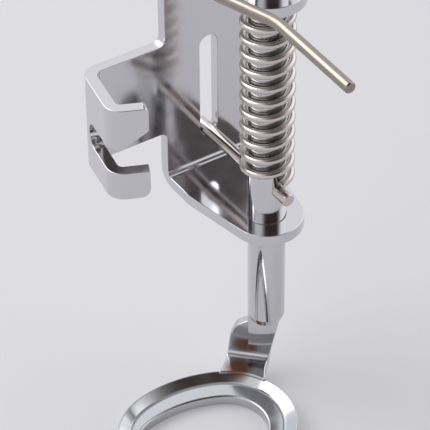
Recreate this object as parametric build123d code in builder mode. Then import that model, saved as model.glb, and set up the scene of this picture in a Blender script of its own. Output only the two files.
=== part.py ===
"""Spring-loaded presser foot with a closed oval ring, for a sewing machine.

A folded steel bracket clamps to the machine's presser bar. A round rod slides up and down through
the bracket's two tabs, pushed down by a coil spring. A cross pin in the rod runs in a slot in the
bracket, a wire arm on top rides on the needle clamp, and a pressed oval ring is brazed to the foot
of the rod.

Millimetres. +X is the operator's right, -Y is towards the operator, +Z is up. The origin is the
axis of the clamp screw, in the middle of the bracket's side wall, at the closed end of the screw
slot.
"""

import os
from math import atan2, cos, radians, sin, sqrt, tan

from build123d import *

# Sheet and fits
sheet = 1.6  # thickness of the bracket's steel
bend_radius = 0.8  # inside radius of the bracket's folds
running_clearance = 0.05  # radial, rod in the bracket's holes
end_gap = 0.03  # the pin's play against the end of its slot

# Rod
rod_diameter = 5.0
rod_right = 18.2  # rod axis, to the right of the clamp screw
rod_ahead = 11.0  # rod axis, in front of the clamp screw
rod_above = 7.0  # length standing out above the upper tab at rest
rod_below = 16.2  # length of full round below the lower tab at rest
rod_chamfer = 0.5
shoulder_inset = 0.3  # bevel round the lower edge of the full round
shoulder_height = 0.9
tongue_length = 5.8  # flattened lower end
tongue_front = 1.1  # its flat face, in front of the rod axis
tongue_cheek = 0.5  # rod left in front of the blade that it is slit for

# Bracket plate and its tabs
plate_width = 13.2
plate_behind_rod = 13.7  # plate's front face, behind the rod axis
lower_tab_drop = 13.1  # lower tab's upper face, below the clamp screw
tab_spacing = 34.1  # free height between the two tabs
tab_end_radius = 4.9
tab_shoulder = 8.6  # where a tab begins to narrow, behind the rod axis
corner_fillet = 1.0  # between the plate and the clamp arm

# Clamp arm of the bracket
arm_above = 8.0  # arm's top edge, above the clamp screw
arm_below = 6.0
side_splay = 9.8  # side wall leans outwards from square, degrees
side_ahead = 5.05  # clamp screw to the fold of the lip
lip_length = 4.4
lip_splay = 23.6  # lip leans forwards from square, degrees
screw_slot = 3.7  # width of the slot for the clamp screw
mouth_rise = 2.7  # how far the slot's upper edge rises at its mouth
mouth_start = 0.9  # from the lip's fold to where that edge begins to rise
lip_corner_upper = 0.7
lip_corner_lower = 1.3

# Guide pin and its slot in the plate
pin_diameter = 1.76
pin_ahead = 4.95  # front end of the pin, in front of the rod axis
pin_behind_plate = 0.4
pin_side_share = 0.73  # how much of its side play in the slot the pin has taken up, to the left
pin_chamfer = 0.2
guide_width = 2.7
guide_length = 16.0
guide_start = 4.2  # lowest point of the slot, above the lower tab

# Spring
wire_diameter = 0.95
spring_clearance = 0.14  # inside the coils, round the rod
spring_turns = 12

# Lifting arm
lift_wire = 1.5
lift_above_tab = 3.7  # wire axis above the upper tab
lift_stub = 0.7  # wire standing out of the rod on the right
lift_left = 10.0  # corner of the wire, to the left of the rod axis
lift_bend_left = 6.35  # second bend, to the left of the rod axis
lift_bend_ahead = 11.4
lift_tip_left = 6.65
lift_tip_ahead = 26.7
lift_corner_radius = 2.4
lift_bend_radius = 7.0
lift_chamfer = 0.35

# Pressed foot: oval ring, neck and blade in one piece
foot_sheet = 1.5
ring_right = 4.25  # ring centre, to the right of the clamp screw
ring_ahead = 18.03  # ring centre, in front of the clamp screw
ring_drop = 38.4  # rim, below the clamp screw at rest
ring_length = 24.5  # outside, left to right
ring_width = 20.1  # outside, front to back
ring_turn = -6.3  # degrees about the vertical
oval_corner = 70.0  # half the angle that each end arc of an oval spans
flare_width = 1.65  # sloping outer part of the ring, seen from above
flare_drop = 1.05  # from the rim down to the ring's level part
fold_round = 0.35  # between the slope and the level part
rim_round = 0.3
heel_round = 0.5  # outer lower edge of the ring
hole_to_left = 0.8  # hole centre, to the left of the ring's
hole_to_front = 0.12
band_at_ends = 3.25  # from the ring's outside to a hole in its middle, left and right
band_at_sides = 3.775  # the same, front and back
hole_round = 0.3
neck_turn = 45.0  # the neck leaves the rod this far round from straight left
neck_drop = 0.15  # neck's upper face, above the ring's rim
neck_bend_radius = 0.9
neck_left = 5.25  # neck's edges, each side of the rod axis
neck_right = 0.45
neck_flare = 0.35  # each edge widens by this much on the way to the ring
neck_flare_start = 2.4  # from the rod axis to where it begins
neck_flare_end = 5.0
neck_land = 0.5  # the neck's end, inside the ring's rim
blade_drop = 0.8  # blade's top, below the rod's full round
blade_top_right = 1.8
blade_top_left = 2.0
blade_corner_left = 4.2
blade_corner_drop = 1.4  # below the blade's top
blade_corner_round = 0.8
blade_side_left = 4.9
blade_side_drop = 3.3

# Places worked out from the sizes above
rod_radius = rod_diameter / 2
rod_x = rod_right
rod_y = -rod_ahead
plate_left = rod_x - plate_width / 2
plate_front = rod_y + plate_behind_rod
plate_back = plate_front + sheet
plate_middle = plate_front + sheet / 2
lower_tab = -lower_tab_drop
upper_tab_under = lower_tab + tab_spacing
upper_tab = upper_tab_under + sheet
tab_tip = rod_y - tab_end_radius
pin_radius = pin_diameter / 2
slot_bottom = lower_tab + guide_start
slot_top = slot_bottom + guide_length
pin_play = guide_width / 2 - pin_radius - end_gap
pin_shift = pin_play * pin_side_share
pin_z = slot_bottom + guide_width / 2 - sqrt(pin_play**2 - pin_shift**2)
rod_step = lower_tab - sheet - rod_below
rod_end = rod_step - tongue_length
rod_top = upper_tab + rod_above
lift_z = upper_tab + lift_above_tab
rim_z = -ring_drop
neck_top = rim_z + neck_drop
blade_top = rod_step - blade_drop
blade_front = tongue_front - tongue_cheek
blade_back = blade_front - foot_sheet


# Bracket: one sheet, folded up from the plate into two tabs and sideways into the clamp arm
fold = bend_radius + sheet / 2
splay = radians(side_splay)
arm_corner = (plate_middle * tan(splay), plate_middle)
lip_corner = (-side_ahead * sin(splay), -side_ahead * cos(splay))
lip_direction = Vector(cos(radians(lip_splay)), -sin(radians(lip_splay)))
lip_end = (
    lip_corner[0] + lip_length * lip_direction.X,
    lip_corner[1] + lip_length * lip_direction.Y,
)
lip_plane = Plane(
    origin=(*lip_corner, 0), x_dir=lip_direction, z_dir=lip_direction.rotate(Axis.Z, -90)
)
side_plane = Plane(
    origin=(0, 0, 0), x_dir=(-sin(splay), -cos(splay), 0), z_dir=(-cos(splay), sin(splay), 0)
)

with BuildPart() as bracket:
    with BuildSketch(Plane.YZ.offset(plate_left)) as side_profile:
        with BuildLine():
            FilletPolyline(
                (tab_tip, lower_tab - sheet / 2),
                (plate_middle, lower_tab - sheet / 2),
                (plate_middle, upper_tab - sheet / 2),
                (tab_tip, upper_tab - sheet / 2),
                radius=fold,
            )
        trace(line_width=sheet)
    extrude(amount=plate_width)

    # Both tabs narrow to a round end about the rod
    with BuildSketch(Plane.XY.offset(lower_tab - sheet)) as tab_outline:
        with Locations((rod_x, rod_y)):
            Circle(tab_end_radius)
        with BuildLine():
            Polyline(
                (plate_left, rod_y + tab_shoulder),
                (plate_left, plate_back),
                (plate_left + plate_width, plate_back),
                (plate_left + plate_width, rod_y + tab_shoulder),
                close=True,
            )
        make_face()
        make_hull()
    extrude(amount=upper_tab - lower_tab + sheet, mode=Mode.INTERSECT)

    # Clamp arm: back wall, side wall and lip round the presser bar
    with BuildSketch(Plane.XY.offset(-arm_below)) as arm_profile:
        with BuildLine():
            FilletPolyline(
                (rod_x, plate_middle), arm_corner, lip_corner, lip_end, radius=fold
            )
        trace(line_width=sheet)
    extrude(amount=arm_above + arm_below)
    fillet(
        bracket.edges()
        .filter_by(Axis.Y)
        .filter_by(lambda e: abs(e.center().X - plate_left) < 0.01)
        .filter_by(lambda e: -arm_below - 0.01 < e.center().Z < arm_above + 0.01),
        corner_fillet,
    )

    # Slot for the clamp screw, open through the lip, with a flared mouth
    with BuildSketch(side_plane) as screw_cut:
        Circle(screw_slot / 2)
        with Locations(((side_ahead + lip_length) / 2, 0)):
            Rectangle(side_ahead + lip_length, screw_slot)
    extrude(amount=side_ahead + lip_length, both=True, mode=Mode.SUBTRACT)
    with BuildSketch(lip_plane) as mouth:
        with BuildLine():
            Polyline(
                (mouth_start, screw_slot / 2),
                (mouth_start, 0),
                (lip_length + sheet, 0),
                (
                    lip_length + sheet,
                    screw_slot / 2
                    + mouth_rise * (lip_length + sheet - mouth_start) / (lip_length - mouth_start),
                ),
                close=True,
            )
        make_face()
    extrude(amount=sheet, both=True, mode=Mode.SUBTRACT)
    lip_edges = (
        bracket.edges()
        .filter_by(Axis((0, 0, 0), lip_plane.z_dir))
        .group_by(Axis(lip_plane.origin, lip_plane.x_dir))[-1]
        .sort_by(Axis.Z)
    )
    fillet(lip_edges[0], lip_corner_lower)
    fillet(
        bracket.edges()
        .filter_by(Axis((0, 0, 0), lip_plane.z_dir))
        .group_by(Axis(lip_plane.origin, lip_plane.x_dir))[-1]
        .sort_by(Axis.Z)[-1],
        lip_corner_upper,
    )

    # Guide slot for the pin
    with BuildSketch(Plane.XZ.offset(-plate_back)) as guide_slot:
        with Locations((rod_x, (slot_bottom + slot_top) / 2)):
            SlotOverall(guide_length, guide_width, rotation=90)
    extrude(amount=sheet, mode=Mode.SUBTRACT)

    # Rod holes in both tabs
    with Locations((rod_x, rod_y, upper_tab)):
        Hole(rod_radius + running_clearance)
bracket.part.label = "bracket"


# Foot: the blade stands in the slit rod, the neck folds forwards and runs into the ring
turn = radians(neck_turn)
neck_forward = Vector(-cos(turn), -sin(turn), 0)
neck_across = Vector(sin(turn), -cos(turn), 0)
rod_base = Vector(rod_x, rod_y, 0)
blade_plane = Plane(origin=rod_base, x_dir=neck_across, z_dir=neck_forward)
neck_side_plane = Plane(origin=rod_base, x_dir=neck_forward, z_dir=-neck_across)
neck_plan_plane = Plane(origin=rod_base, x_dir=neck_across, z_dir=(0, 0, 1))

corner = radians(oval_corner)


def draw_oval(length, width, inset):
    """Draw an oval of four tangent arcs, this far inside its full size, and return its right arc."""
    end_centre = (length - width) / 2 / (1 - (1 / cos(corner) - tan(corner)))
    end_arc = length / 2 - end_centre - inset
    side_centre = end_centre * tan(corner)
    side_arc = width / 2 + side_centre - inset
    right_arc = CenterArc((end_centre, 0), end_arc, -oval_corner, 2 * oval_corner)
    CenterArc((0, -side_centre), side_arc, oval_corner, 180 - 2 * oval_corner)
    CenterArc((-end_centre, 0), end_arc, 180 - oval_corner, 2 * oval_corner)
    CenterArc((0, side_centre), side_arc, 180 + oval_corner, 180 - 2 * oval_corner)
    return right_arc


ring_along = (cos(radians(ring_turn)), sin(radians(ring_turn)), 0)
ring_plane = Plane(origin=(ring_right, -ring_ahead, rim_z), x_dir=ring_along, z_dir=(0, 0, 1))
level_plane = ring_plane.offset(-flare_drop - foot_sheet)
hole_length = ring_length - 2 * band_at_ends
hole_width = ring_width - 2 * band_at_sides
hole_plane = Plane(
    origin=(ring_right - hole_to_left, -ring_ahead - hole_to_front, rim_z - flare_drop),
    x_dir=ring_along,
    z_dir=(0, 0, 1),
)
ring_centre = Vector(ring_right, -ring_ahead, 0) - rod_base
ring_reach = ring_centre.dot(neck_forward)
with BuildLine(ring_plane) as rim_line:
    right_end = draw_oval(ring_length, ring_width, 0)
section_plane = Plane(
    origin=right_end @ 0,
    x_dir=(right_end % 0).cross(Vector(0, 0, 1)),
    z_dir=-(right_end % 0),
)
flare = atan2(flare_drop, flare_width)
under_width = flare_width - foot_sheet * tan(flare / 2)
rim_height = foot_sheet / cos(flare)

with BuildPart() as ring_foot:
    # Blade and neck as one bent strip, wider than it finishes
    with BuildSketch(neck_side_plane.offset(-2 * rod_diameter)) as strip_profile:
        with BuildLine():
            FilletPolyline(
                (blade_front - foot_sheet / 2, blade_top),
                (blade_front - foot_sheet / 2, neck_top - foot_sheet / 2),
                (ring_reach, neck_top - foot_sheet / 2),
                radius=neck_bend_radius + foot_sheet / 2,
            )
        trace(line_width=foot_sheet)
    extrude(amount=4 * rod_diameter)

    # Its outline from the front: the blade leans to the left and narrows towards its top
    with BuildSketch(blade_plane.offset(blade_back)) as blade_outline:
        with BuildLine():
            FilletPolyline(
                (blade_top_right, blade_top),
                (neck_right, neck_top),
                (neck_right, neck_top - foot_sheet),
                (-neck_left, neck_top - foot_sheet),
                (-neck_left, neck_top),
                (-blade_side_left, blade_top - blade_side_drop),
                (-blade_corner_left, blade_top - blade_corner_drop),
                (-blade_top_left, blade_top),
                radius=(0, 0, 0, 0, blade_corner_round, blade_corner_round),
            )
            Line((-blade_top_left, blade_top), (blade_top_right, blade_top))
        make_face()
    extrude(amount=ring_reach, mode=Mode.INTERSECT)

    # The neck widens a little towards the ring, and stops just inside its rim
    with BuildSketch(neck_plan_plane.offset(neck_top - foot_sheet)) as web:
        with BuildLine():
            Polyline(
                (neck_right, -neck_flare_start),
                (neck_right + neck_flare, -neck_flare_end),
                (neck_right + neck_flare, -ring_reach),
                (-neck_left - neck_flare, -ring_reach),
                (-neck_left - neck_flare, -neck_flare_end),
                (-neck_left, -neck_flare_start),
                close=True,
            )
        make_face()
    extrude(amount=foot_sheet)
    with BuildSketch(ring_plane) as dish:
        with BuildLine(Plane.XY):
            draw_oval(ring_length, ring_width, neck_land)
        make_face()
    extrude(amount=2 * foot_sheet, both=True, mode=Mode.SUBTRACT)

    # Ring: sloping outer part carried round the oval, then the level part and its hole
    with BuildSketch(section_plane) as flare_section:
        with BuildLine():
            Polyline(
                (0, 0),
                (-flare_width, -flare_drop),
                (-flare_width - foot_sheet / 2, -flare_drop),
                (-flare_width - foot_sheet / 2, -flare_drop - foot_sheet),
                (-under_width, -flare_drop - foot_sheet),
                (0, -rim_height),
                close=True,
            )
        make_face()
        folds = flare_section.vertices().filter_by(lambda v: -flare_width - 0.01 < v.X < -0.01)
        fillet(folds, fold_round)
        fillet(flare_section.vertices().group_by(Axis.X)[-1].sort_by(Axis.Y)[-1], rim_round)
        fillet(flare_section.vertices().group_by(Axis.X)[-1].sort_by(Axis.Y)[0], heel_round)
    sweep(path=rim_line.wire())
    with BuildSketch(level_plane) as level_part:
        with BuildLine(Plane.XY):
            draw_oval(ring_length, ring_width, flare_width + foot_sheet / 4)
        make_face()
    extrude(amount=foot_sheet)
    with BuildSketch(hole_plane) as eye:
        with BuildLine(Plane.XY):
            draw_oval(hole_length, hole_width, 0)
        make_face()
    extrude(amount=-foot_sheet, mode=Mode.SUBTRACT)
    fillet(ring_foot.edges(Select.LAST).group_by(Axis.Z)[-1], hole_round)
ring_foot.part.label = "ring_foot"


# The pin points forwards, turned a little about the rod as far as its slot lets it
pin_reach = plate_back + pin_behind_plate - rod_y
pin_plane = Plane(
    origin=(rod_x, rod_y, pin_z), z_dir=Vector(pin_shift, rod_y - plate_back).normalized()
)

# Rod: round bar, its lower end flattened in front and slit for the blade
with BuildPart() as rod:
    with BuildSketch(Plane.XY.offset(rod_step)):
        with Locations((rod_x, rod_y)):
            Circle(rod_radius)
    extrude(amount=rod_top - rod_step)
    chamfer(rod.edges().group_by(Axis.Z)[-1], rod_chamfer)
    shoulder = rod.faces().sort_by(Axis.Z)[0]
    chamfer(shoulder.edges(), shoulder_inset, shoulder_height, reference=shoulder)
    with BuildSketch(neck_plan_plane.offset(rod_end)) as tongue:
        Circle(rod_radius)
        with Locations((0, -tongue_front)):
            Rectangle(
                rod_diameter, rod_radius, align=(Align.CENTER, Align.MAX), mode=Mode.SUBTRACT
            )
    extrude(amount=tongue_length + shoulder_height)
    with BuildSketch(neck_side_plane) as slit:
        with Locations((blade_front, blade_top)):
            Rectangle(foot_sheet, blade_top - rod_end, align=(Align.MAX, Align.MAX))
    extrude(amount=rod_diameter, both=True, mode=Mode.SUBTRACT)
    # The tongue is trimmed along the blade's slanting right edge
    edge_slant = (blade_top_right - neck_right) / (blade_top - neck_top)
    with BuildSketch(blade_plane.offset(-rod_diameter)) as trim:
        with BuildLine():
            Polyline(
                (blade_top_right + edge_slant * (rod_step - blade_top), rod_step),
                (blade_top_right + edge_slant * (rod_end - blade_top), rod_end),
                (rod_diameter, rod_end),
                (rod_diameter, rod_step),
                close=True,
            )
        make_face()
    extrude(amount=2 * rod_diameter, mode=Mode.SUBTRACT)
    # Cross holes for the guide pin and the lifting arm
    with Locations(pin_plane):
        Hole(pin_radius)
    with Locations(Plane(origin=(rod_x, rod_y, lift_z), z_dir=(1, 0, 0))):
        Hole(lift_wire / 2)
rod.part.label = "rod"


# Guide pin: pressed through the rod, its rear end in the bracket's slot
with BuildPart() as guide_pin:
    with BuildSketch(pin_plane.offset(-pin_reach)):
        Circle(pin_radius)
    extrude(amount=pin_reach + pin_ahead)
    chamfer(guide_pin.edges().filter_by(GeomType.CIRCLE), pin_chamfer)
guide_pin.part.label = "guide_pin"


# Spring: plain coil between the guide pin and the upper tab
coil_radius = rod_radius + spring_clearance + wire_diameter / 2
coil_start = pin_z + pin_radius + wire_diameter / 2
coil_height = upper_tab_under - wire_diameter / 2 - coil_start
with BuildPart() as spring:
    with BuildLine(Plane(origin=(rod_x, rod_y, coil_start), x_dir=(0, -1, 0), z_dir=(0, 0, 1))):
        coil = Helix(pitch=coil_height / spring_turns, height=coil_height, radius=coil_radius)
    with BuildSketch(Plane(origin=coil @ 0, z_dir=coil % 0)):
        Circle(wire_diameter / 2)
    sweep(path=coil, is_frenet=True)
spring.part.label = "spring"


# Lifting arm: wire through the top of the rod, bent forwards over the needle clamp
with BuildPart() as lifting_arm:
    with BuildLine() as lift_path:
        FilletPolyline(
            (rod_x + rod_radius + lift_stub, rod_y, lift_z),
            (rod_x - lift_left, rod_y, lift_z),
            (rod_x - lift_bend_left, rod_y - lift_bend_ahead, lift_z),
            (rod_x - lift_tip_left, rod_y - lift_tip_ahead, lift_z),
            radius=(lift_corner_radius, lift_bend_radius),
        )
    with BuildSketch(Plane(origin=lift_path.line @ 0, z_dir=(-1, 0, 0))):
        Circle(lift_wire / 2)
    sweep(path=lift_path.line)
    chamfer(lifting_arm.edges().filter_by(GeomType.CIRCLE).sort_by(Axis.Y)[0], lift_chamfer)
lifting_arm.part.label = "lifting_arm"


os.makedirs("parts", exist_ok=True)
export_step(bracket.part, "parts/bracket.step")
export_step(rod.part, "parts/rod.step")
export_step(guide_pin.part, "parts/guide_pin.step")
export_step(spring.part, "parts/spring.step")
export_step(lifting_arm.part, "parts/lifting_arm.step")
export_step(ring_foot.part, "parts/ring_foot.step")
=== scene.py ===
# %% [markdown]
# # A sprung presser foot with an oval ring
#
# The real thing is a small machine spare, about 70 mm tall: a folded steel bracket, a rod that slides
# through its two tabs, a coil spring, a cross pin, a bent wire arm and a pressed oval ring. All of it
# is polished and plated, so nearly everything that the eye sees is a reflection. Three things decide
# the look: clean curvature, small rounded edges that catch light, and a surround worth reflecting.
#
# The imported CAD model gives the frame. Each node is either copied and finished here, or modelled
# again in the same place with cleaner curves. Sizes below are in millimetres, as on a drawing.

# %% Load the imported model
import math

import bmesh
import bpy
from mathutils import Matrix, Vector


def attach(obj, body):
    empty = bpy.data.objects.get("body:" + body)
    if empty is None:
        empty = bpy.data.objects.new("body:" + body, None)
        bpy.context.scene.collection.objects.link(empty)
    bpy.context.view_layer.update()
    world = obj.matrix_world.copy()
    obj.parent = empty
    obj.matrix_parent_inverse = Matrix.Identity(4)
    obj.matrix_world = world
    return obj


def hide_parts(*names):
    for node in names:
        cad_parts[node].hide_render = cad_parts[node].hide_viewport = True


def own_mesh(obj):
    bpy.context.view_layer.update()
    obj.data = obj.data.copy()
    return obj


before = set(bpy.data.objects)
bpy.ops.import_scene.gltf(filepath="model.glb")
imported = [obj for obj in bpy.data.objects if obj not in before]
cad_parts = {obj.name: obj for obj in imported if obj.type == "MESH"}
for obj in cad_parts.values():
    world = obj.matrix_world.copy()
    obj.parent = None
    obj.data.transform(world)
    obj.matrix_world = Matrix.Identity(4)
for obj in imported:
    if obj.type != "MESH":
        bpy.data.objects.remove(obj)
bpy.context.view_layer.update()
scene = bpy.context.scene

# %% [markdown]
# ## Working in millimetres
#
# Blender keeps metres. Pieces this small are easier to read in millimetres, so each mesh is made in
# millimetres about the drawing's origin and scaled once when it is finished. A finished piece's
# object stays at the origin, so patterns on Object coordinates sit still.

# %% Helpers for shaping and finishing a piece
MM = 0.001


def linear(hex_colour):
    """Turn an sRGB hex colour into the linear values that shaders use."""
    channels = [int(hex_colour[i : i + 2], 16) / 255 for i in (1, 3, 5)]
    return [c / 12.92 if c <= 0.04045 else ((c + 0.055) / 1.055) ** 2.4 for c in channels] + [1]


def sharp_edges(bm, degrees):
    """Edges where two faces meet at more than this angle."""
    limit = math.radians(degrees)
    return [e for e in bm.edges if len(e.link_faces) == 2 and e.calc_face_angle() > limit]


def round_edges(bm, edges, radius, segments=3):
    """Round edges over, as tumbling and polishing do before the plating."""
    return bmesh.ops.bevel(
        bm, geom=edges, offset=radius, offset_type="OFFSET", segments=segments, profile=0.5,
        affect="EDGES", clamp_overlap=True, material=-1, miter_outer="SHARP",
    )


def join_into(bm, other):
    """Add another bmesh to this one and free it."""
    carrier = bpy.data.meshes.new("carrier")
    other.to_mesh(carrier)
    other.free()
    bm.from_mesh(carrier)
    bpy.data.meshes.remove(carrier)


def finish_piece(bm, name, finish, body, node, smooth_below=35):
    """Make a shaded object from the mesh, and let it stand for its CAD node on its body."""
    bmesh.ops.remove_doubles(bm, verts=bm.verts, dist=1e-4)
    bmesh.ops.recalc_face_normals(bm, faces=bm.faces)
    bmesh.ops.scale(bm, vec=(MM, MM, MM), verts=bm.verts)
    mesh = bpy.data.meshes.new(name)
    bm.to_mesh(mesh)
    bm.free()
    mesh.shade_smooth()
    mesh.set_sharp_from_angle(angle=math.radians(smooth_below))
    mesh.materials.append(finish)
    piece = bpy.data.objects.new(name, mesh)
    scene.collection.objects.link(piece)
    even = piece.modifiers.new("even_normals", "WEIGHTED_NORMAL")
    even.keep_sharp = True
    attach(piece, body)
    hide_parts(node)
    print(name, len(mesh.polygons), "faces")
    return piece


# %% [markdown]
# ## Camera
#
# The camera was fitted to the photograph: about 0.34 m away, 39 degrees above the horizon and 33
# degrees to the left of straight ahead, with a long lens. Two of its directions are written down, its
# right and its back. Its up follows from them, and the three are the columns of its rotation.

# %% Camera at the photograph's angle
CAMERA_PLACE = Vector((-129.679, -229.550, 203.155))
camera_data = bpy.data.cameras.new("camera")
camera_data.sensor_width = 36
camera_data.lens = 218.88
camera_data.clip_start = 0.01
camera = bpy.data.objects.new("camera", camera_data)
right = Vector((0.83902, -0.54405, -0.00728)).normalized()
back = Vector((-0.41663, -0.65100, 0.63452)).normalized()
up = back.cross(right)
turned = Matrix((right, up, back)).transposed().to_4x4()
camera.matrix_world = Matrix.Translation(CAMERA_PLACE * MM) @ turned
scene.collection.objects.link(camera)
scene.camera = camera
print("camera back", [round(v, 4) for v in back])

# %% [markdown]
# ## Material nodes
#
# One function adds a node, sets it and links it. Every finish below is a plated metal, so they share
# a builder: the Principled shader fully metallic, a little roughness that varies like handling
# marks, and a bump far too low to feel, which bends the reflections the way thin plating over
# pressed steel does. A finish may also have one round patch of painted dark reflection with a soft
# border.

# %% One function that adds a node
HANDLING_MARKS = 2.5


def add_node(tree, kind, settings=None, **inputs):
    """Add a node; a setting is an attribute, an input is a value or another node's output.

    An input is named as in the editor, or i and its number where names repeat. A Mix node's two
    colours are inputs 6 and 7, and its blended colour is output 2.
    """
    node = tree.nodes.new(kind)
    for key, value in (settings or {}).items():
        setattr(node, key, value)
    for key, value in inputs.items():
        socket = node.inputs[int(key[1:])] if key[1:].isdigit() else node.inputs[key.replace("_", " ")]
        if isinstance(value, bpy.types.NodeSocket):
            tree.links.new(value, socket)
        else:
            socket.default_value = value
    return node


def plated_metal(name, colour, gloss, ripple, stretch=(1, 1, 1), painted_reflection=None):
    """Polished plating: its colour, two roughnesses that it varies between, and a faint ripple.

    The ripple is its length and height in millimetres. A painted reflection is a place and a reach
    in millimetres, and a colour: a round patch painted into the base colour as a dark reflection.
    """
    material = bpy.data.materials.new(name)
    material.use_nodes = True
    tree = material.node_tree
    tree.nodes.clear()
    place = add_node(tree, "ShaderNodeTexCoord").outputs["Object"]
    stretched = add_node(tree, "ShaderNodeMapping", Vector=place, Scale=stretch).outputs[0]
    marks = add_node(
        tree, "ShaderNodeTexNoise", Vector=stretched, Scale=1 / (HANDLING_MARKS * MM), Detail=4
    )
    roughness = add_node(
        tree, "ShaderNodeMapRange", Value=marks.outputs[0], i1=0.35, i2=0.75, i3=gloss[0], i4=gloss[1]
    )
    waves = add_node(
        tree, "ShaderNodeTexNoise", Vector=stretched, Scale=1 / (ripple[0] * MM), Detail=1
    )
    bump = add_node(
        tree, "ShaderNodeBump", Height=waves.outputs[0], Distance=ripple[1] * MM, Strength=1.0
    )
    shader = add_node(
        tree, "ShaderNodeBsdfPrincipled", Metallic=1.0, Roughness=roughness.outputs[0],
        Normal=bump.outputs[0], Base_Color=linear(colour),
    )
    # Painted dark reflection: near the given place the base colour turns to the patch's colour
    if painted_reflection:
        middle, reach, reflection_colour = painted_reflection
        far = add_node(
            tree, "ShaderNodeVectorMath", {"operation": "DISTANCE"}, i0=place, i1=middle * MM
        )
        share = add_node(
            tree, "ShaderNodeMapRange", {"interpolation_type": "SMOOTHSTEP"},
            Value=far.outputs["Value"], i1=reach * MM, i2=0.4 * reach * MM, i3=0.0, i4=1.0,
        )
        with_reflection = add_node(
            tree, "ShaderNodeMix", {"data_type": "RGBA"}, i0=share.outputs[0], i6=linear(colour),
            i7=linear(reflection_colour),
        )
        tree.links.new(with_reflection.outputs[2], shader.inputs["Base Color"])
    add_node(tree, "ShaderNodeOutputMaterial", Surface=shader.outputs[0])
    return material


# %% [markdown]
# ## Finishes
#
# Bright chromium on a pressed sheet is a cool neutral mirror, slightly softened by fine wear. The rod
# is ground round before it is plated, so its marks run round it. Nickel is warmer: the spring wire
# looks slightly pink beside the chromium. The wire arm's colour is brown and set far darker than
# nickel's, as a painted dark reflection. The foot's neck has a round brown patch painted into its
# colour, also a painted dark reflection.

# %% Chromium and nickel finishes
# Painted dark reflection on the foot's neck: where it is, and how far it reaches
NECK_REFLECTION_AT, PAINTED_REFLECTION_REACH = Vector((13.8, -11.0, -38.25)), 2.5
chromed_sheet = plated_metal(
    "bright_chromium_on_pressed_steel", "#D2D1D4", gloss=(0.10, 0.17), ripple=(3.0, 0.004)
)
chromed_foot = plated_metal(
    "bright_chromium_on_foot_with_painted_reflection", "#C4C5C8", gloss=(0.12, 0.20), ripple=(2.5, 0.004),
    painted_reflection=(NECK_REFLECTION_AT, PAINTED_REFLECTION_REACH, "#8E6A58"),
)
chromed_rod = plated_metal(
    "ground_and_chromed_bar", "#D0D0D2", gloss=(0.05, 0.12), ripple=(1.2, 0.001), stretch=(0.3, 0.3, 3)
)
spring_wire = plated_metal(
    "nickelled_spring_wire", "#CEC6C3", gloss=(0.24, 0.34), ripple=(0.7, 0.004)
)
# The arm's base colour is set far darker than nickel's: a painted dark reflection along its length
darkened_nickel_wire = plated_metal(
    "nickelled_wire_painted_dark", "#989188", gloss=(0.20, 0.30), ripple=(0.8, 0.004)
)
pin_steel = plated_metal("nickelled_pin", "#CEC4C0", gloss=(0.14, 0.22), ripple=(0.8, 0.004))
print("finishes", len(bpy.data.materials))

# %% [markdown]
# ## Bracket
#
# One sheet of 1.6 mm steel, folded into two tabs and a clamp arm. The CAD shape is right, but its
# edges are razor sharp and a mirror finish needs an edge that catches light. A copy of the node is
# merged, its flat areas are dissolved into single faces, and every sharp edge is rounded by bevel.

# %% Bracket from a merged copy of the node
EDGE_ROUND = 0.2
folded = bmesh.new()
folded.from_mesh(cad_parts["bracket"].data)
bmesh.ops.scale(folded, vec=(1 / MM, 1 / MM, 1 / MM), verts=folded.verts)
bmesh.ops.remove_doubles(folded, verts=folded.verts, dist=1e-3)
bmesh.ops.dissolve_limit(
    folded, angle_limit=math.radians(0.6), verts=folded.verts, edges=folded.edges
)
round_edges(folded, sharp_edges(folded, 40), EDGE_ROUND)
finish_piece(folded, "folded_bracket", chromed_sheet, "frame", "bracket")

# %% [markdown]
# ## Rod
#
# A ground bar of 5 mm. Its lower end has a small bevelled shoulder and a flattened tongue, and the
# blade of the foot stands in a slit in it. The bar is a filled circle, drawn up and widened for the
# shoulder and then drawn up to its head. The tongue is a second circle, cut flat by a plane in
# front, drawn up into the shoulder, and cut again along the blade's slant. The slit is full of
# blade, so it isn't cut: the blade's edge stands a hair out of the tongue and shows as its own line.

# %% Rod with shoulder and tongue
ROD_X, ROD_Y, ROD_RADIUS = 18.2, -11.0, 2.5
ROD_TOP, ROD_STEP, ROD_END = 29.6, -30.9, -36.7
ROD_SIDES, HEAD_ROUND = 96, 0.5
SHOULDER_HEIGHT, SHOULDER_INSET = 0.9, 0.3
TONGUE_FRONT, TONGUE_INSET, TONGUE_ROUND = 1.1, 0.02, 0.12
TONGUE_SUNK = 0.5
BLADE_TOP, NECK_TOP = -31.7, -38.25
BLADE_TOP_RIGHT, NECK_RIGHT, NECK_LEFT = 1.8, 0.45, 5.25
BLADE_PROUD = 0.08
ROD_AXIS = Vector((ROD_X, ROD_Y, 0))
# The foot points forwards and to the left; across it is to its right
FOOT_TURN = math.radians(45)
FORWARD = Vector((-math.sin(FOOT_TURN), -math.cos(FOOT_TURN), 0))
ACROSS = Vector((math.cos(FOOT_TURN), -math.sin(FOOT_TURN), 0))


def disc(bm, radius, centre, direction, segments):
    """A filled circle facing along a direction."""
    facing = Vector(direction).to_track_quat("Z", "Y").to_matrix().to_4x4()
    made = bmesh.ops.create_circle(
        bm, cap_ends=True, segments=segments, radius=radius,
        matrix=Matrix.Translation(centre) @ facing,
    )
    return made["verts"][0].link_faces[0]


def pull(bm, face, direction):
    """Draw a face out into a bar and return the far end.

    The face itself stays behind: as the near end, or as a wall inside a longer bar.
    """
    made = bmesh.ops.extrude_face_region(bm, geom=[face])
    far = [g for g in made["geom"] if isinstance(g, bmesh.types.BMFace)][0]
    bmesh.ops.translate(bm, vec=direction, verts=far.verts)
    return far


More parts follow.
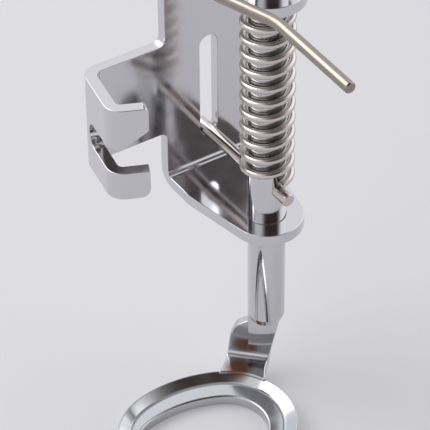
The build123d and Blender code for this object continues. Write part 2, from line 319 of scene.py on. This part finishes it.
def cut_away(bm, place, facing):
    """Cut off what lies beyond a plane."""
    bmesh.ops.bisect_plane(
        bm, geom=[*bm.verts, *bm.edges, *bm.faces], dist=1e-5, plane_co=place, plane_no=facing,
        clear_outer=True,
    )


bar = bmesh.new()
shoulder_radius = ROD_RADIUS - SHOULDER_INSET
foot_end = disc(bar, shoulder_radius, ROD_AXIS + Vector((0, 0, ROD_STEP)), (0, 0, 1), ROD_SIDES)
shoulder_top = pull(bar, foot_end, (0, 0, SHOULDER_HEIGHT))
bmesh.ops.scale(
    bar, vec=(ROD_RADIUS / shoulder_radius, ROD_RADIUS / shoulder_radius, 1),
    verts=shoulder_top.verts, space=Matrix.Translation(-ROD_AXIS),
)
head = pull(bar, shoulder_top, (0, 0, ROD_TOP - ROD_STEP - SHOULDER_HEIGHT))
round_edges(bar, list(head.edges), HEAD_ROUND, 2)

tongue = bmesh.new()
disc(tongue, ROD_RADIUS - TONGUE_INSET, ROD_AXIS + Vector((0, 0, ROD_END)), (0, 0, -1), ROD_SIDES)
cut_away(tongue, ROD_AXIS + FORWARD * TONGUE_FRONT, FORWARD)
tongue.faces.ensure_lookup_table()
pull(tongue, tongue.faces[0], (0, 0, ROD_STEP + TONGUE_SUNK - ROD_END))
slant = Vector((0, 0, BLADE_TOP - NECK_TOP)) + ACROSS * (BLADE_TOP_RIGHT - NECK_RIGHT)
cut_away(
    tongue, ROD_AXIS + ACROSS * (NECK_RIGHT - BLADE_PROUD) + Vector((0, 0, NECK_TOP)),
    slant.cross(FORWARD),
)
bmesh.ops.holes_fill(tongue, edges=[e for e in tongue.edges if len(e.link_faces) == 1])
outside = [e for e in sharp_edges(tongue, 40) if min(v.co.z for v in e.verts) < ROD_STEP]
round_edges(tongue, outside, TONGUE_ROUND)
join_into(bar, tongue)
finish_piece(bar, "sliding_rod", chromed_rod, "plunger", "rod", smooth_below=30)

# %% [markdown]
# ## Cross pin
#
# A short pin pressed through the rod; its back end runs in the bracket's slot. It is turned a little
# to the left, as far as the slot lets it. A disc is pulled out along the pin's own direction and its
# two ends are rounded.

# %% Cross pin
PIN_RADIUS, PIN_HEIGHT, PIN_ROUND = 0.88, -7.85, 0.22
PIN_BEHIND, PIN_IN_FRONT = 15.7, 4.95
PIN_DIRECTION = Vector((0.321, -15.3, 0)).normalized()
pin_middle = Vector((ROD_X, ROD_Y, PIN_HEIGHT))
pin = bmesh.new()
pin_back = disc(pin, PIN_RADIUS, pin_middle - PIN_DIRECTION * PIN_BEHIND, PIN_DIRECTION, 40)
back_rim = list(pin_back.edges)
pin_front = pull(pin, pin_back, PIN_DIRECTION * (PIN_BEHIND + PIN_IN_FRONT))
round_edges(pin, back_rim + list(pin_front.edges), PIN_ROUND)
finish_piece(pin, "cross_pin", pin_steel, "plunger", "guide_pin")

# %% [markdown]
# ## Spring
#
# Twelve turns of 0.95 mm wire. A small circle is spun about the rod's axis while it climbs, which is
# what Spin's dvec does, and the two cut ends are capped.

# %% Spring
WIRE, ROD_CLEARANCE = 0.95, 0.14
TURNS, STEPS = 12, 56
UPPER_TAB = 21.0
COIL_RADIUS = ROD_RADIUS + ROD_CLEARANCE + WIRE / 2
COIL_START = PIN_HEIGHT + PIN_RADIUS + WIRE / 2
COIL_END = UPPER_TAB - WIRE / 2
lean = math.atan2(COIL_END - COIL_START, TURNS * 2 * math.pi * COIL_RADIUS)
spring = bmesh.new()
section = bmesh.ops.create_circle(
    spring, segments=18, radius=WIRE / 2,
    matrix=Matrix.Translation((ROD_X, ROD_Y - COIL_RADIUS, COIL_START))
    @ Matrix.Rotation(-lean, 4, "Y") @ Matrix.Rotation(math.radians(90), 4, "Y"),
)
first_loop = section["verts"][:]
wound = bmesh.ops.spin(
    spring, geom=list({e for v in first_loop for e in v.link_edges}) + first_loop,
    cent=(ROD_X, ROD_Y, 0), axis=(0, 0, 1), angle=TURNS * 2 * math.pi, steps=TURNS * STEPS,
    dvec=(0, 0, (COIL_END - COIL_START) / (TURNS * STEPS)), use_merge=False, use_duplicate=False,
)
last_loop = [g for g in wound["geom_last"] if isinstance(g, bmesh.types.BMVert)]
for loop in (first_loop, last_loop):
    bmesh.ops.contextual_create(spring, geom=loop)
round_edges(spring, sharp_edges(spring, 60), 0.1, 2)
coil = finish_piece(spring, "coil_spring", spring_wire, "frame", "spring")

# %% [markdown]
# ## Lifting arm
#
# Nickel-plated wire of 1.5 mm through the top of the rod. It goes left, bends forwards round a small
# radius and straightens over the needle clamp. The section is pulled along the straights and spun
# round the bends. Each bend's centre is where the two straights' offsets meet.

# %% Lifting arm
ARM_RADIUS, ARM_HEIGHT, ARM_ROUND = 0.75, 26.3, 0.3
FIRST_BEND, SECOND_BEND = 2.4, 7.0
# Where the straights' centre lines begin, meet and end, to the right of the rod's axis and behind it
corners = [
    Vector((ROD_X + x, ROD_Y + y, ARM_HEIGHT))
    for x, y in ((3.2, 0), (-10.0, 0), (-6.35, -11.4), (-6.65, -26.7))
]


def loop_of(geom):
    """The vertices and edges in an operator's result."""
    return [g for g in geom if isinstance(g, (bmesh.types.BMVert, bmesh.types.BMEdge))]


def draw_on(bm, loop, direction):
    """Pull an open loop along a straight and return the new loop."""
    edges = [g for g in loop if isinstance(g, bmesh.types.BMEdge)]
    made = bmesh.ops.extrude_edge_only(bm, edges=edges)
    new = loop_of(made["geom"])
    verts = [g for g in new if isinstance(g, bmesh.types.BMVert)]
    bmesh.ops.translate(bm, vec=direction, verts=verts)
    inside = set(verts)
    return verts + [e for e in new if isinstance(e, bmesh.types.BMEdge) and set(e.verts) <= inside]


arm = bmesh.new()
here = corners[0]
heading = (corners[1] - here).normalized()
arm_start = disc(arm, ARM_RADIUS, here, heading, 32)
root_edges = list(arm_start.edges)
loop = root_edges + list(arm_start.verts)
for corner, after, bend in zip(corners[1:], corners[2:], (FIRST_BEND, SECOND_BEND)):
    ahead = (after - corner).normalized()
    swing = heading.angle(ahead)
    setback = bend * math.tan(swing / 2)
    loop = draw_on(arm, loop, corner - heading * setback - here)
    turn_axis = heading.cross(ahead).normalized()
    centre = corner - heading * setback + turn_axis.cross(heading) * bend
    spun = bmesh.ops.spin(
        arm, geom=loop, cent=centre, axis=turn_axis, angle=swing, steps=14, use_merge=False,
        use_duplicate=False,
    )
    loop = loop_of(spun["geom_last"])
    here = corner + ahead * setback
    heading = ahead
loop = draw_on(arm, loop, corners[-1] - here)
bmesh.ops.contextual_create(arm, geom=[g for g in loop if isinstance(g, bmesh.types.BMVert)])
tip_edges = [g for g in loop if isinstance(g, bmesh.types.BMEdge)]
round_edges(arm, root_edges + tip_edges, ARM_ROUND)
finish_piece(arm, "lifting_wire", darkened_nickel_wire, "plunger", "lifting_arm")

# %% [markdown]
# ## Oval ring
#
# Pressed from 1.5 mm sheet: a sloping outer part, a soft fold and a level part with an oval hole of
# its own, a little to the left of the ring's middle. Each oval is four tangent arcs. A section of
# the slope, with its corners rounded, is spun about the four arc centres one after another. The
# hole's rounded edge is spun the same way with the same number of steps, so bridging the loops gives
# clean quads for the level part, above and below.

# %% Oval ring
SHEET = 1.5
RIM, FLARE_WIDTH, FLARE_DROP = -38.4, 1.65, 1.05
RING_TURN, OVAL_CORNER = math.radians(-6.3), 70.0
RING_SIZE, HOLE_SIZE = (24.5, 20.1), (18.0, 12.55)
RING_MIDDLE, HOLE_MIDDLE = Vector((4.25, -18.03, 0)), Vector((3.45, -18.15, 0))
# How far the level part is drawn with the slope, and with the hole's edge, before the bridge
EDGE_STRIP = 0.35
LEVEL = RIM - FLARE_DROP
UNDERSIDE = LEVEL - SHEET
flare = math.atan2(FLARE_DROP, FLARE_WIDTH)
UNDER_WIDTH = FLARE_WIDTH - SHEET * math.tan(flare / 2)


def oval_arcs(length, width):
    """Centre, radius, first angle and span of an oval's four arcs, starting at the right end."""
    corner = math.radians(OVAL_CORNER)
    end_centre = (length - width) / 2 / (1 - (1 / math.cos(corner) - math.tan(corner)))
    side_centre = end_centre * math.tan(corner)
    end_radius = length / 2 - end_centre
    side_radius = width / 2 + side_centre
    span = 180 - 2 * OVAL_CORNER
    return [
        (Vector((end_centre, 0, 0)), end_radius, -OVAL_CORNER, 2 * OVAL_CORNER),
        (Vector((0, -side_centre, 0)), side_radius, OVAL_CORNER, span),
        (Vector((-end_centre, 0, 0)), end_radius, 180 - OVAL_CORNER, 2 * OVAL_CORNER),
        (Vector((0, side_centre, 0)), side_radius, 180 + OVAL_CORNER, span),
    ]


def section_chain(bm, points, rounds, opening):
    """An outline in the XZ plane with rounded corners, left open along the upright side at opening."""
    verts = [bm.verts.new((x, 0, z)) for x, z in points]
    bm.faces.new(verts)
    for v, radius in zip(verts, rounds):
        if radius:
            bmesh.ops.bevel(
                bm, geom=[v], offset=radius, offset_type="OFFSET", segments=6, profile=0.5,
                affect="VERTICES", material=-1,
            )
    bmesh.ops.delete(bm, geom=list(bm.faces), context="FACES_ONLY")
    inner = [e for e in bm.edges if all(abs(v.co.x - opening) < 1e-4 for v in e.verts)]
    bmesh.ops.delete(bm, geom=inner, context="EDGES")
    return list(bm.verts)


def round_the_oval(bm, chain, arcs, middle):
    """Spin a section, drawn as (inwards, height), round the four arcs, and put it in its place."""
    centre, radius, first, _ = arcs[0]
    outwards = Vector((math.cos(math.radians(first)), math.sin(math.radians(first)), 0))
    for v in chain:
        v.co = centre + outwards * (radius - v.co.x) + Vector((0, 0, v.co.z))
    geom = list(chain) + [e for e in bm.edges if e.verts[0] in chain and e.verts[1] in chain]
    for centre, _, _, span in arcs:
        spun = bmesh.ops.spin(
            bm, geom=geom, cent=centre, axis=(0, 0, 1), angle=math.radians(span),
            steps=40 if span > 90 else 20, use_merge=False, use_duplicate=False,
        )
        geom = loop_of(spun["geom_last"])
    bmesh.ops.remove_doubles(bm, verts=bm.verts, dist=1e-3)
    bmesh.ops.rotate(
        bm, verts=bm.verts, cent=(0, 0, 0), matrix=Matrix.Rotation(RING_TURN, 3, "Z")
    )
    bmesh.ops.translate(bm, verts=bm.verts, vec=middle)


ring = bmesh.new()
chain = section_chain(
    ring,
    [
        (0, RIM),
        (FLARE_WIDTH, LEVEL),
        (FLARE_WIDTH + EDGE_STRIP, LEVEL),
        (FLARE_WIDTH + EDGE_STRIP, UNDERSIDE),
        (UNDER_WIDTH, UNDERSIDE),
        (0, RIM - SHEET / math.cos(flare)),
    ],
    [0.32, 0.3, 0, 0, 0.25, 0.4],
    opening=FLARE_WIDTH + EDGE_STRIP,
)
round_the_oval(ring, chain, oval_arcs(*RING_SIZE), RING_MIDDLE)

eye = bmesh.new()
chain = section_chain(
    eye,
    [(0, LEVEL), (0, UNDERSIDE), (-EDGE_STRIP, UNDERSIDE), (-EDGE_STRIP, LEVEL)],
    [0.3, 0.12, 0, 0],
    opening=-EDGE_STRIP,
)
round_the_oval(eye, chain, oval_arcs(*HOLE_SIZE), HOLE_MIDDLE)
join_into(ring, eye)
for height in (LEVEL, UNDERSIDE):
    open_loops = [
        e for e in ring.edges
        if len(e.link_faces) == 1 and all(abs(v.co.z - height) < 1e-3 for v in e.verts)
    ]
    bmesh.ops.bridge_loops(ring, edges=open_loops)
print("open edges left", sum(len(e.link_faces) == 1 for e in ring.edges))
finish_piece(ring, "oval_ring", chromed_foot, "plunger", "ring_foot")

# %% [markdown]
# ## Neck and blade
#
# One strip: the blade stands in the slit rod and leans to the left, bends forwards and runs into the
# ring as the neck. The strip's upper face is drawn as a row of edges, each extruded from the last
# and set to the outline's width at that place. Its far end is subdivided and pushed out to the
# ring's own arc. Solidify gives the sheet its thickness, and bevels round its corners and edges.

# %% Neck and blade
BLADE_FRONT, NECK_BEND, BEND_STEPS = 0.6, 0.9, 8
# The blade's top left corner is cut away in two slants, each this far below the blade's top
BLADE_TOP_LEFT, SHORT_SLANT, SHORT_SLANT_LEFT = 2.0, 1.4, 4.2
LONG_SLANT, LONG_SLANT_LEFT = 3.3, 4.9
NECK_STRAIGHT, NECK_REACH = 2.4, 5.0
# The neck widens by the flare at each side of the ring and ends this far inside its rim
NECK_FLARE, NECK_LAND = 0.35, 0.5
BLADE_CORNER_ROUND = 0.55


def at(across, forward, height):
    """A place in the rod's own frame: across the blade, forwards along the neck, and up."""
    return ROD_AXIS + ACROSS * across + FORWARD * forward + Vector((0, 0, height))


def blade_right(height):
    share = (height - NECK_TOP) / (BLADE_TOP - NECK_TOP)
    return NECK_RIGHT + (BLADE_TOP_RIGHT - NECK_RIGHT) * share


def blade_left(height):
    share = (height - NECK_TOP) / (BLADE_TOP - LONG_SLANT - NECK_TOP)
    return NECK_LEFT + (LONG_SLANT_LEFT - NECK_LEFT) * share


# Each row is how far it reaches right and left, how far forwards it is, and its height
rows = [
    (blade_right(BLADE_TOP - drop), left, BLADE_FRONT, BLADE_TOP - drop)
    for drop, left in ((SHORT_SLANT, SHORT_SLANT_LEFT), (LONG_SLANT, LONG_SLANT_LEFT))
]
for step in range(BEND_STEPS + 1):
    turn = math.radians(step * 90 / BEND_STEPS)
    forward = BLADE_FRONT + NECK_BEND * (1 - math.cos(turn))
    height = NECK_TOP + NECK_BEND * (1 - math.sin(turn))
    rows.append((blade_right(height), blade_left(height), forward, height))
rows += [
    (NECK_RIGHT, NECK_LEFT, NECK_STRAIGHT, NECK_TOP),
    (NECK_RIGHT + NECK_FLARE, NECK_LEFT + NECK_FLARE, NECK_REACH, NECK_TOP),
]
strip = bmesh.new()
top_verts = [
    strip.verts.new(at(BLADE_TOP_RIGHT, BLADE_FRONT, BLADE_TOP)),
    strip.verts.new(at(-BLADE_TOP_LEFT, BLADE_FRONT, BLADE_TOP)),
]
edge = strip.edges.new(top_verts)
for right_side, left_side, forward, height in rows:
    made = bmesh.ops.extrude_edge_only(strip, edges=[edge])
    pair = [g for g in made["geom"] if isinstance(g, bmesh.types.BMVert)]
    pair.sort(key=lambda v: v.co.dot(ACROSS), reverse=True)
    pair[0].co = at(right_side, forward, height)
    pair[1].co = at(-left_side, forward, height)
    edge = [e for e in pair[0].link_edges if pair[1] in e.verts][0]

# %% Neck's end follows the ring
bmesh.ops.subdivide_edges(strip, edges=[edge], cuts=11)
end_verts = [v for v in strip.verts if abs((v.co - ROD_AXIS).dot(FORWARD) - NECK_REACH) < 1e-4]
arc_centre, arc_radius, _, _ = oval_arcs(*RING_SIZE)[0]
arc_centre = Matrix.Rotation(RING_TURN, 3, "Z") @ arc_centre + RING_MIDDLE
for v in end_verts:
    offset = (v.co - arc_centre) * Vector((1, 1, 0))
    along = offset.dot(FORWARD)
    reach = -along - math.sqrt(along**2 - offset.length**2 + (arc_radius - NECK_LAND) ** 2)
    v.co += FORWARD * reach
bmesh.ops.recalc_face_normals(strip, faces=strip.faces)
if min(strip.faces, key=lambda f: f.calc_center_median().z).normal.z < 0:
    bmesh.ops.reverse_faces(strip, faces=strip.faces)
bmesh.ops.solidify(strip, geom=list(strip.faces), thickness=SHEET)
print("strip heights", min(v.co.z for v in strip.verts), max(v.co.z for v in strip.verts))
slant_height = BLADE_TOP - SHORT_SLANT - 0.1
corner_edges = [
    e for e in strip.edges
    if abs((e.verts[0].co - e.verts[1].co).dot(FORWARD)) > 0.99 * SHEET
    and (e.verts[0].co - ROD_AXIS).dot(ACROSS) < 0.1 - BLADE_TOP_LEFT
    and e.verts[0].co.z > slant_height
]
round_edges(strip, corner_edges, BLADE_CORNER_ROUND, 5)
round_edges(strip, sharp_edges(strip, 40), EDGE_ROUND)
finish_piece(strip, "neck_and_blade", chromed_foot, "plunger", "ring_foot")

# %% [markdown]
# ## Floor
#
# The photograph has a plain pale ground. One large square under the ring takes the shadow, and a
# share of its own colour keeps it even to the edge of the picture.

# %% Floor
# In metres
FLOOR_HALF_WIDTH, FLOOR_GAP = 3, 0.0001
floor_bm = bmesh.new()
bmesh.ops.create_grid(floor_bm, x_segments=1, y_segments=1, size=FLOOR_HALF_WIDTH)
bmesh.ops.translate(floor_bm, vec=(0, 0, UNDERSIDE * MM - FLOOR_GAP), verts=floor_bm.verts)
floor_mesh = bpy.data.meshes.new("floor")
floor_bm.to_mesh(floor_mesh)
floor_bm.free()
floor = bpy.data.objects.new("floor", floor_mesh)
scene.collection.objects.link(floor)
paper = bpy.data.materials.new("pale_paper")
paper.use_nodes = True
tree = paper.node_tree
tree.nodes.clear()
lit = add_node(tree, "ShaderNodeBsdfDiffuse", Color=linear("#DBDADD"))
own = add_node(tree, "ShaderNodeEmission", Color=linear("#DEDDE2"), Strength=1.0)
both = add_node(tree, "ShaderNodeMixShader", i0=0.3, i1=lit.outputs[0], i2=own.outputs[0])
add_node(tree, "ShaderNodeOutputMaterial", Surface=both.outputs[0])
floor_mesh.materials.append(paper)
print("floor at", floor_mesh.vertices[0].co.z)

# %% [markdown]
# ## Surround
#
# Mirrors show what is around them, so the world is a pale tent with soft fields in it, each mixed
# over the last by how near a direction is to the field's middle. It is brighter at the right and
# behind. A small dark field near the zenith darkens the far part of the ring's fold, and the large
# brown one in front and overhead darkens the tab, the foot of the plate and the ring's far slope.

# %% Surround
world = bpy.data.worlds.new("tent")
scene.world = world
world.use_nodes = True
tree = world.node_tree
tree.nodes.clear()
direction = add_node(tree, "ShaderNodeTexCoord").outputs["Generated"]


def sky_direction(azimuth, elevation):
    """A direction: azimuth from straight ahead, positive to the right, and height above level."""
    turn, rise = math.radians(azimuth), math.radians(elevation)
    return Vector((math.sin(turn) * math.cos(rise), -math.cos(turn) * math.cos(rise), math.sin(rise)))


SURROUND_STRENGTH = 1.5
seen = linear("#D0D0D3")
# Azimuth and elevation, full within this angle, gone beyond this angle, colour
for place, inner, outer, shade in (
    ((92, 28), 18, 42, "#FFFFFF"),
    ((-172, 52), 12, 34, "#ECEFF4"),
    ((135, 72), 10, 20, "#4A4644"),
    ((-5, 50), 24, 47, "#342C28"),
):
    nearness = add_node(
        tree, "ShaderNodeVectorMath", {"operation": "DOT_PRODUCT"}, i0=direction,
        i1=sky_direction(*place),
    )
    share = add_node(
        tree, "ShaderNodeMapRange", {"interpolation_type": "SMOOTHSTEP"},
        Value=nearness.outputs["Value"], i1=math.cos(math.radians(outer)),
        i2=math.cos(math.radians(inner)), i3=0.0, i4=1.0,
    )
    seen = add_node(
        tree, "ShaderNodeMix", {"data_type": "RGBA"}, i0=share.outputs[0], i6=seen, i7=linear(shade)
    ).outputs[2]
glow = add_node(tree, "ShaderNodeBackground", Color=seen, Strength=SURROUND_STRENGTH)
add_node(tree, "ShaderNodeOutputWorld", Surface=glow.outputs[0])
print("surround nodes", len(tree.nodes))

# %% [markdown]
# ## Lamp
#
# One large soft disc behind the object and to its left gives the floor its soft shadow. It is aimed
# at the middle of the object. The view transform is Standard, so colours render as they are written.

# %% Lamp and view transform
# In metres and watts
LAMP_DISTANCE, LAMP_SIZE, LAMP_POWER = 0.6, 0.5, 1.5
lamp_data = bpy.data.lights.new("softbox", "AREA")
lamp_data.shape = "DISK"
lamp_data.size = LAMP_SIZE
lamp_data.energy = LAMP_POWER
lamp = bpy.data.objects.new("softbox", lamp_data)
scene.collection.objects.link(lamp)
aim = Vector((0.012, -0.008, -0.01))
away = Vector((-0.45, 0.62, 0.75)).normalized()
facing = away.to_track_quat("Z", "Y").to_matrix().to_4x4()
lamp.matrix_world = Matrix.Translation(aim + away * LAMP_DISTANCE) @ facing
scene.view_settings.view_transform = "Standard"
print("lamp at", [round(v, 3) for v in lamp.matrix_world.translation])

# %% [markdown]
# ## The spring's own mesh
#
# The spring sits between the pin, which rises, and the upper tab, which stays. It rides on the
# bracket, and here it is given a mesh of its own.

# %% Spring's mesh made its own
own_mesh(coil)
